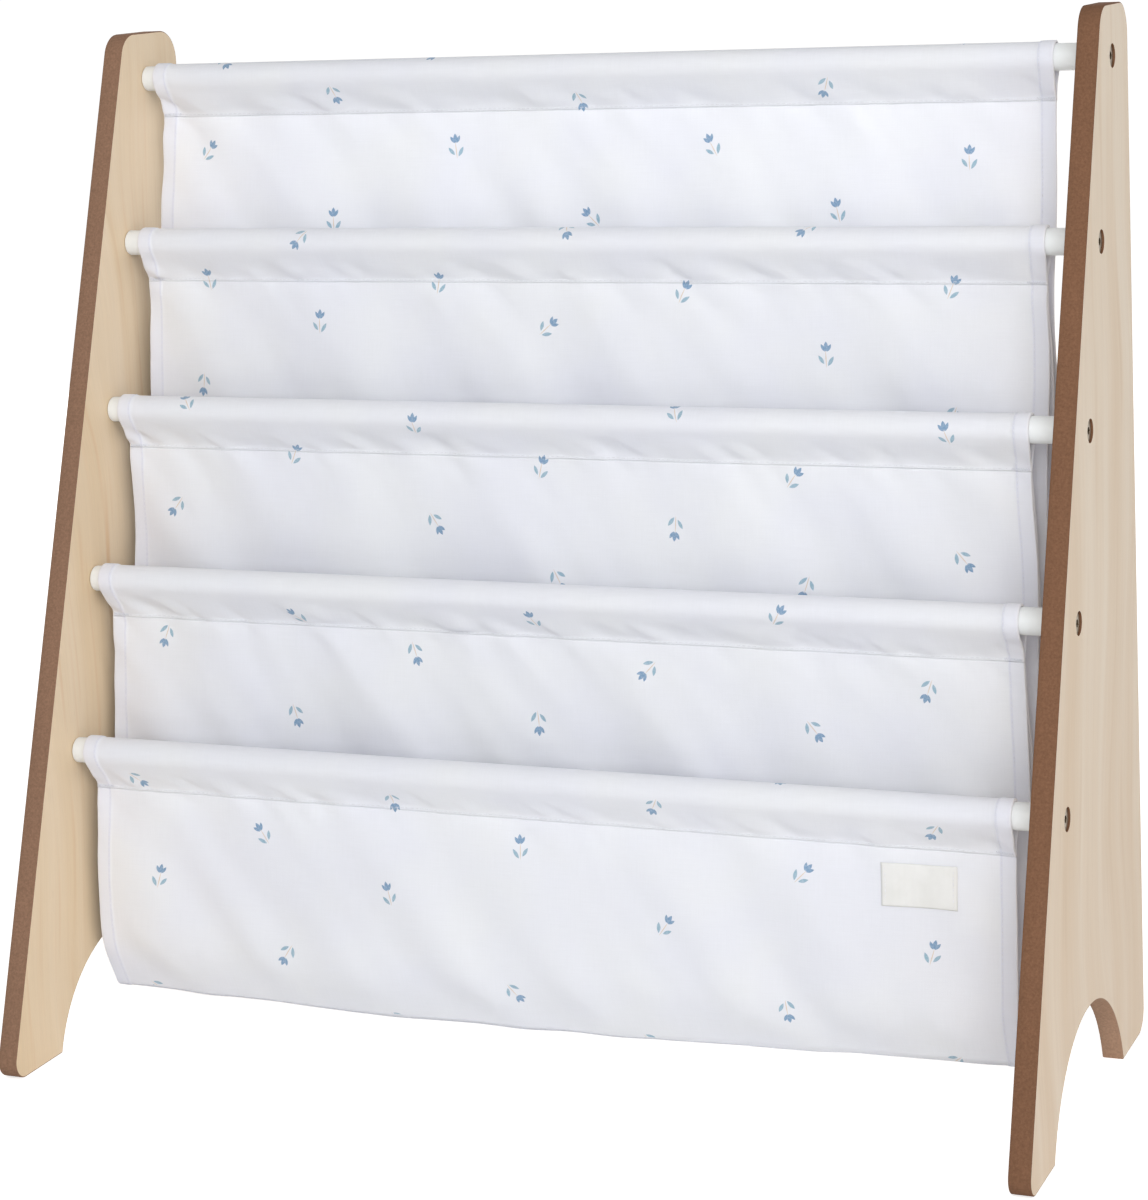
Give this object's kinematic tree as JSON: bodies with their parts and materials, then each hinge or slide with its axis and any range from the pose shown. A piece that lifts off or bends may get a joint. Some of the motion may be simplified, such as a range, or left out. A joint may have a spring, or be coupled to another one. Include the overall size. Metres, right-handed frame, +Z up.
{
  "type": "sling bookshelf",
  "caption": "Low children's book rack: raked side panels joined by round rods, with a cloth sling hung over the rods as stepped pockets for picture books.",
  "frame": {"origin": "on the floor, midway between the side panels and midway from front to back", "axes": "+X from the left panel to the right one, +Y from the front to the back, +Z up"},
  "size_m": [0.61, 0.26, 0.59],
  "materials": {
    "panel_board": "pale maple-look faces with a fine upright grain, bare brown fibreboard edges",
    "white_paint": "white satin paint over turned wood",
    "bolt_bronze": "dark bronze plating, satin",
    "insert_zinc": "zinc plated",
    "sling_cloth": "plain woven cloth, cool white with small blue sprigs, stitched hems",
    "tag_cloth": "blank cream satin tag, stitched at its ends"
  },
  "bodies": {
    "root": {"left_side_panel": "panel_board", "right_side_panel": "panel_board", "rod_1": "white_paint", "rod_2": "white_paint", "rod_3": "white_paint", "rod_4": "white_paint", "rod_5": "white_paint", "bolt_left_1": "bolt_bronze", "bolt_left_2": "bolt_bronze", "bolt_left_3": "bolt_bronze", "bolt_left_4": "bolt_bronze", "bolt_left_5": "bolt_bronze", "insert_left_1": "insert_zinc", "insert_left_2": "insert_zinc", "insert_left_3": "insert_zinc", "insert_left_4": "insert_zinc", "insert_left_5": "insert_zinc", "bolt_right_1": "bolt_bronze", "bolt_right_2": "bolt_bronze", "bolt_right_3": "bolt_bronze", "bolt_right_4": "bolt_bronze", "bolt_right_5": "bolt_bronze", "insert_right_1": "insert_zinc", "insert_right_2": "insert_zinc", "insert_right_3": "insert_zinc", "insert_right_4": "insert_zinc", "insert_right_5": "insert_zinc", "sleeve_1": "sling_cloth", "sleeve_2": "sling_cloth", "sleeve_3": "sling_cloth", "sleeve_4": "sling_cloth", "sleeve_5": "sling_cloth", "pocket_1": "sling_cloth", "pocket_2": "sling_cloth", "pocket_3": "sling_cloth", "pocket_4": "sling_cloth", "sewn_tag": "tag_cloth"}
  },
  "joints": []
}
